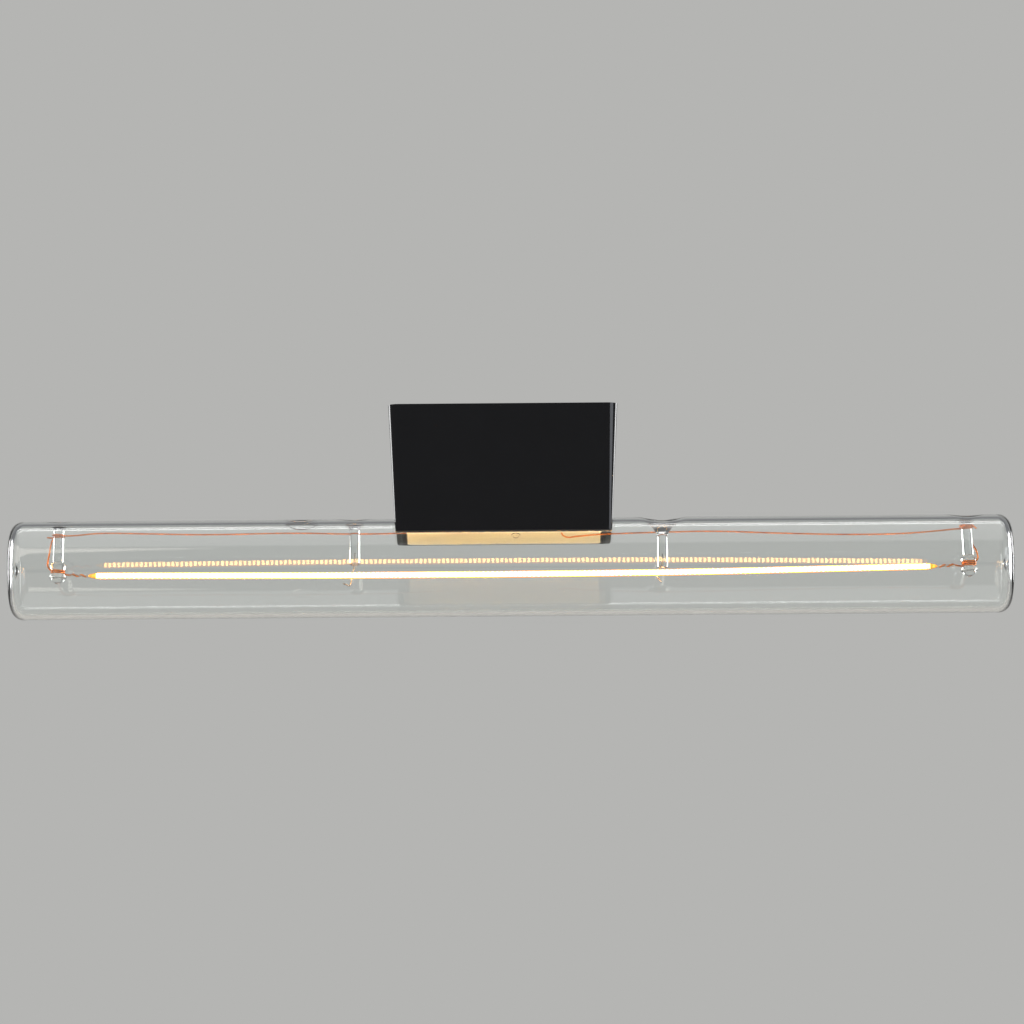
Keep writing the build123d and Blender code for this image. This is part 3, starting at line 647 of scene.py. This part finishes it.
def makeGlass():
    outer = closedTube(0.0, 0.0)
    bore = tube["radius"] - tube["wall"]
    inner = closedTube(tube["wall"], tube["pipRise"])
    for mark in (sealScar, exhaustMark):
        toTop = Matrix.Rotation(math.radians(mark["turn"]), 3, "X")
        middle = (0, 0, tube["axis"])
        bmesh.ops.rotate(inner, verts=inner.verts, cent=middle, matrix=toTop)
        mouth = mark["radius"] + mark["width"] + rimMargin
        drawFromWall(inner, mark["x"], bore, mouth, markRings(mark), 0.0, 0.0)
        bmesh.ops.rotate(inner, verts=inner.verts, cent=middle, matrix=toTop.transposed())
    for one in posts.values():
        level = bore - dimpleDrop(one["x"], 0.0)
        if one["tip"] is None:
            shape, tip = endPostRings(level)
        else:
            shape, tip = middlePostRings(level, *one["tip"])
        mouth = post["radius"] + one["foot"] + rimMargin
        drawFromWall(inner, one["x"], bore, mouth, footRings(one) + shape, one["lean"], tip)
    for x in (-leadSeat["x"], leadSeat["x"]):
        drawFromWall(inner, x, bore, leadSeat["radius"] + rimMargin, seatRings(), 0.0, leadSeat["drop"])
    bmesh.ops.recalc_face_normals(inner, faces=inner.faces)
    bmesh.ops.reverse_faces(inner, faces=inner.faces)
    bmesh.ops.recalc_face_normals(outer, faces=outer.faces)
    outer.from_mesh(meshFrom(inner, "tubeInside"))
    mesh = meshFrom(outer, "glassTube")
    addPiece("glassTube", mesh, "lamp", "clear_glass", "glass_envelope")
    print("glass tube,", len(mesh.polygons), "faces")


makeGlass()


# Filament, one strip over its whole length

def filamentHeight(x):
    # smooth line through the knots
    knots = filament["knots"]
    spot = 0
    while spot < len(knots) - 2 and x > knots[spot + 1][0]:
        spot += 1
    (x0, h0), (x1, h1) = knots[spot], knots[spot + 1]
    before = knots[max(spot - 1, 0)]
    after = knots[min(spot + 2, len(knots) - 1)]
    slope0 = (h1 - before[1]) / (x1 - before[0])
    slope1 = (after[1] - h0) / (after[0] - x0)
    t = (x - x0) / (x1 - x0)
    span = x1 - x0
    bend = (2 * t ** 3 - 3 * t ** 2 + 1) * h0 + (t ** 3 - 2 * t ** 2 + t) * span * slope0
    return bend + (3 * t ** 2 - 2 * t ** 3) * h1 + (t ** 3 - t ** 2) * span * slope1


def stripMesh(name, stations, corners):
    # oval strip along the filament's line through stations of (x, half width, half height, lit)
    bm = bmesh.new()
    rise = bm.verts.layers.float.new("rise")
    back = bm.verts.layers.float.new("back")
    lit = bm.verts.layers.float.new("lit")
    bmesh.ops.create_circle(bm, cap_ends=False, segments=corners, radius=1.0)
    bmesh.ops.rotate(bm, verts=bm.verts, cent=(0, 0, 0), matrix=Matrix.Rotation(math.pi / 2, 3, "Y"))
    ring, edges = list(bm.verts), list(bm.edges)
    firstRing = ring
    shape = [vert.co.copy() for vert in ring]
    for number, (x, halfWidth, halfHeight, glow) in enumerate(stations):
        if number:
            ring, edges = drawOn(bm, ring, edges)
        for vert, corner in zip(ring, shape):
            level = tube["axis"] + filamentHeight(x)
            vert.co = (x, corner.y * halfWidth, level + corner.z * halfHeight)
            vert[rise] = corner.z
            vert[back] = min(max(corner.y * 2 + 0.5, 0.0), 1.0)     # grades over half the half width
            vert[lit] = glow
    bmesh.ops.contextual_create(bm, geom=firstRing)
    bmesh.ops.contextual_create(bm, geom=ring)
    bmesh.ops.recalc_face_normals(bm, faces=bm.faces)
    return meshFrom(bm, name)


def makeFilament():
    left, right = filament["ends"]
    taper = filament["taper"]
    unlit = filament["unlit"]
    tipShare = filament["tipShare"]
    tipGlow = filament["tipGlow"]
    count = 186
    endSteps = [0.0, 0.1, 0.25, 0.45, unlit, 0.78, 1.0]
    places = [left + taper * part for part in endSteps]
    places += [left + taper + (right - left - 2 * taper) * step / count for step in range(1, count)]
    places += [right - taper * part for part in reversed(endSteps)]
    stations = []
    for x in places:
        inward = min(min(x - left, right - x) / taper, 1.0)
        thick = tipShare + (1 - tipShare) * math.sin(math.pi / 2 * inward) ** 0.8
        inLight = max(inward - unlit, 0.0) / (1 - unlit)
        glow = tipGlow + (1 - tipGlow) * inLight ** 1.6
        stations.append((x, filament["width"] / 2 * thick, filament["height"] / 2 * thick, glow))
    mesh = stripMesh("filament", stations, 20)
    addPiece("filament", mesh, "lamp", "phosphor_silicone", "led_filament")
    print("filament,", len(mesh.polygons), "faces")


makeFilament()


# Wires: two copper leads wrapped round the end posts, two thin hooks under the middle posts

copper = {
    "radius": 0.25,
    "topStart": 90,             # degrees round the post, from the right towards the rear
    "topTurns": {"leftEnd": 1.0, "rightEnd": 2.3},
    "topFall": {"leftEnd": 0.52, "rightEnd": -0.35},    # from turn to turn
    "tail": {
        "leftEnd": ((-135.0, 1.8, 10.2), (-136.5, 1.45, 10.3)),
        "rightEnd": ((140.3, -1.0, 11.0), (140.95, -1.4, 10.4)),
    },
    "waistStart": {"leftEnd": 195, "rightEnd": -15},
    "waistTurns": {"leftEnd": 1.55, "rightEnd": 2.55},
    "waistHeight": {"leftEnd": 0.1, "rightEnd": 0.8},
    "waistFall": 0.55,
    "waistRadius": 2.0,
    "joinLength": 4.6,          # where the lead and the tab's own wire are twisted together
    "joinOverlap": 0.9,         # of the join and the tab's plate
    "joinRise": 0.3,
    "joinTurns": 1.8,
    "joinRadius": 0.27,
}
tab = {
    "length": 3.4,
    "reach": 1.6,               # from the strip's end
    "halfWidth": 0.2,
    "halfHeight": (0.55, 0.26),     # inside the strip and at the wire
    "wireRadius": 0.2,
    "wireRoot": 0.6,            # of its wire in the plate
}
# x, y and height from the tube's axis, from the seat in the top wall to the end post
leftRun = (
    (-17.0, 0.0, 14.2), (-17.0, 0.0, 12.9), (-17.5, 0.2, 12.1), (-20.0, 0.8, 11.6), (-26.0, 1.6, 11.2),
    (-32.0, 2.4, 10.95), (-44.5, 3.0, 10.9), (-62.0, 2.9, 11.3), (-90.0, 2.5, 11.0), (-108.0, 2.3, 11.4),
    (-121.0, 2.1, 11.6), (-128.9, 1.95, 10.9),
)
rightRun = (
    (17.0, 0.0, 14.2), (17.0, 0.0, 12.9), (17.1, 0.2, 11.2), (17.6, 0.5, 9.7), (18.9, 0.8, 9.05),
    (21.5, 1.2, 9.3), (28.3, 2.0, 10.0), (36.0, 2.5, 10.35), (47.3, 3.0, 10.7), (62.0, 2.9, 10.85),
    (85.0, 2.5, 9.95), (105.0, 2.2, 9.4), (120.0, 2.05, 9.6), (130.3, 1.95, 10.35), (135.7, 1.92, 10.85),
)
# from the top turns round the bead to the waist
leftDrop = (
    (-133.6, 1.75, 10.3), (-134.8, 0.9, 9.3), (-135.1, 0.0, 8.0), (-135.6, -0.3, 5.0),
    (-136.05, -0.4, 2.5), (-136.05, -0.45, 1.5), (-135.4, -0.5, 0.4),
)
rightDrop = (
    (138.6, 1.8, 10.3), (139.35, 1.1, 9.0), (139.65, 0.5, 7.2), (139.95, 0.1, 5.6), (140.75, -0.2, 4.2),
    (141.25, -0.35, 2.4), (141.3, -0.4, 1.6), (141.0, -0.45, 1.05),
)
hooks = {
    "radius": 0.18,
    "left": ((-44.5, 0.0, 4.6), (-44.6, 0.1, 1.2), (-45.1, 1.03, -0.9), (-45.5, 1.03, -2.9),
             (-45.9, 0.1, -4.9), (-46.3, -0.5, -5.25), (-47.0, -0.75, -4.9), (-48.0, -0.9, -4.6)),
    "right": ((47.3, 0.0, 3.6), (47.1, 0.1, 0.3), (46.0, 1.03, -1.3), (45.7, 0.95, -2.9),
              (46.2, 0.3, -3.9), (46.85, -0.4, -4.9)),
}


def wireMesh(name, routes, radius):
    # round wire, one smooth curve for each route
    curve = bpy.data.curves.new(name, "CURVE")
    curve.dimensions = "3D"
    curve.bevel_depth = radius
    curve.bevel_resolution = 3
    curve.resolution_u = 5
    curve.use_fill_caps = True
    for route in routes:
        spline = curve.splines.new("BEZIER")
        spline.bezier_points.add(len(route) - 1)
        for knot, (x, y, height) in zip(spline.bezier_points, route):
            knot.co = (x, y, tube["axis"] + height)
            knot.handle_left_type = "AUTO"
            knot.handle_right_type = "AUTO"
    carrier = bpy.data.objects.new(name, curve)
    mesh = bpy.data.meshes.new_from_object(carrier)
    bpy.data.objects.remove(carrier)
    return mesh


def postMiddle(one, height):
    depth = tube["radius"] - tube["wall"] - height
    return one["x"] + depth * math.tan(math.radians(one["lean"]))


def turnsRound(one, radius, firstTurn, turns, hand, height, fall):
    # helix round a post, hand 1 anticlockwise seen from above and -1 clockwise
    pointsPerTurn = 10
    count = math.ceil(turns * pointsPerTurn)
    points = []
    for step in range(count + 1):
        part = step / count
        level = height - fall * turns * part
        turn = math.radians(firstTurn) + hand * 2 * math.pi * turns * part
        points.append((postMiddle(one, level) + radius * math.cos(turn), radius * math.sin(turn), level))
    return points


def twistTo(start, end, firstTurn):
    # one strand of a twisted pair
    pointsPerTurn = 9
    turns, radius = copper["joinTurns"], copper["joinRadius"]
    count = math.ceil(turns * pointsPerTurn)
    points = []
    for step in range(count + 1):
        part = step / count
        turn = math.radians(firstTurn) + 2 * math.pi * turns * part
        x, y, height = (a + (b - a) * part for a, b in zip(start, end))
        points.append((x, y + radius * math.cos(turn), height + radius * math.sin(turn)))
    return points


def makeTab(side, hand, twist):
    # stamped tab that narrows to a wire, which the lead is twisted with
    end = filament["ends"][0] if hand == 1 else filament["ends"][1]
    wide, narrow = tab["halfHeight"]
    stations = []
    steps = 5
    for step in range(steps + 1):
        part = step / steps
        x = end - hand * (tab["reach"] - tab["length"] * (1 - part))
        stations.append((x, tab["halfWidth"], wide + (narrow - wide) * part ** 1.5, 0.0))
    bm = bmesh.new()
    bm.from_mesh(stripMesh("tabPlate" + side, stations, 12))
    x = stations[-1][0]
    root = (x + hand * tab["wireRoot"], 0.0, filamentHeight(x))
    bm.from_mesh(wireMesh("tabWire" + side, ([root] + twist[::-1],), tab["wireRadius"]))
    mesh = meshFrom(bm, "tab" + side)
    addPiece("filamentTab." + side, mesh, "lamp", "plated_tab", "filament_tab_" + side)


def makeLead(side, run, drop, hand):
    # along the tube to the top turns with their tail, then down to the waist turns and the join
    one = posts[side]
    radius = copper["radius"]
    top = turnsRound(one, post["radius"] + radius, copper["topStart"], copper["topTurns"][side], hand,
                     run[-1][2], copper["topFall"][side])
    waist = turnsRound(one, copper["waistRadius"], copper["waistStart"][side], copper["waistTurns"][side],
                       hand, copper["waistHeight"][side], copper["waistFall"])
    tabEnd = (filament["ends"][0] if hand == 1 else filament["ends"][1]) - hand * tab["reach"]
    level = filamentHeight(tabEnd)
    overlap = copper["joinOverlap"]
    start = (tabEnd - hand * (copper["joinLength"] - overlap), 0.0, level + copper["joinRise"])
    end = (tabEnd + hand * overlap, 0.0, level)
    along = [*run, *top, *copper["tail"][side]]
    routes = (along, [*drop, *waist, *twistTo(start, end, 0)])
    lead = wireMesh("lead" + side, routes, radius)
    name = "left" if hand == 1 else "right"
    addPiece("copperLead." + name, lead, "lamp", "copper_wire", "lead_wire_" + name)
    makeTab(name, hand, twistTo(start, end, 180))


makeLead("leftEnd", leftRun, leftDrop, 1)
makeLead("rightEnd", rightRun, rightDrop, -1)
for side in ("left", "right"):
    hook = wireMesh("hook" + side, (hooks[side],), hooks["radius"])
    addPiece("supportHook." + side, hook, "lamp", "hook_wire", "support_hook_" + side)
print("wires made")


# Last lines

print("done")
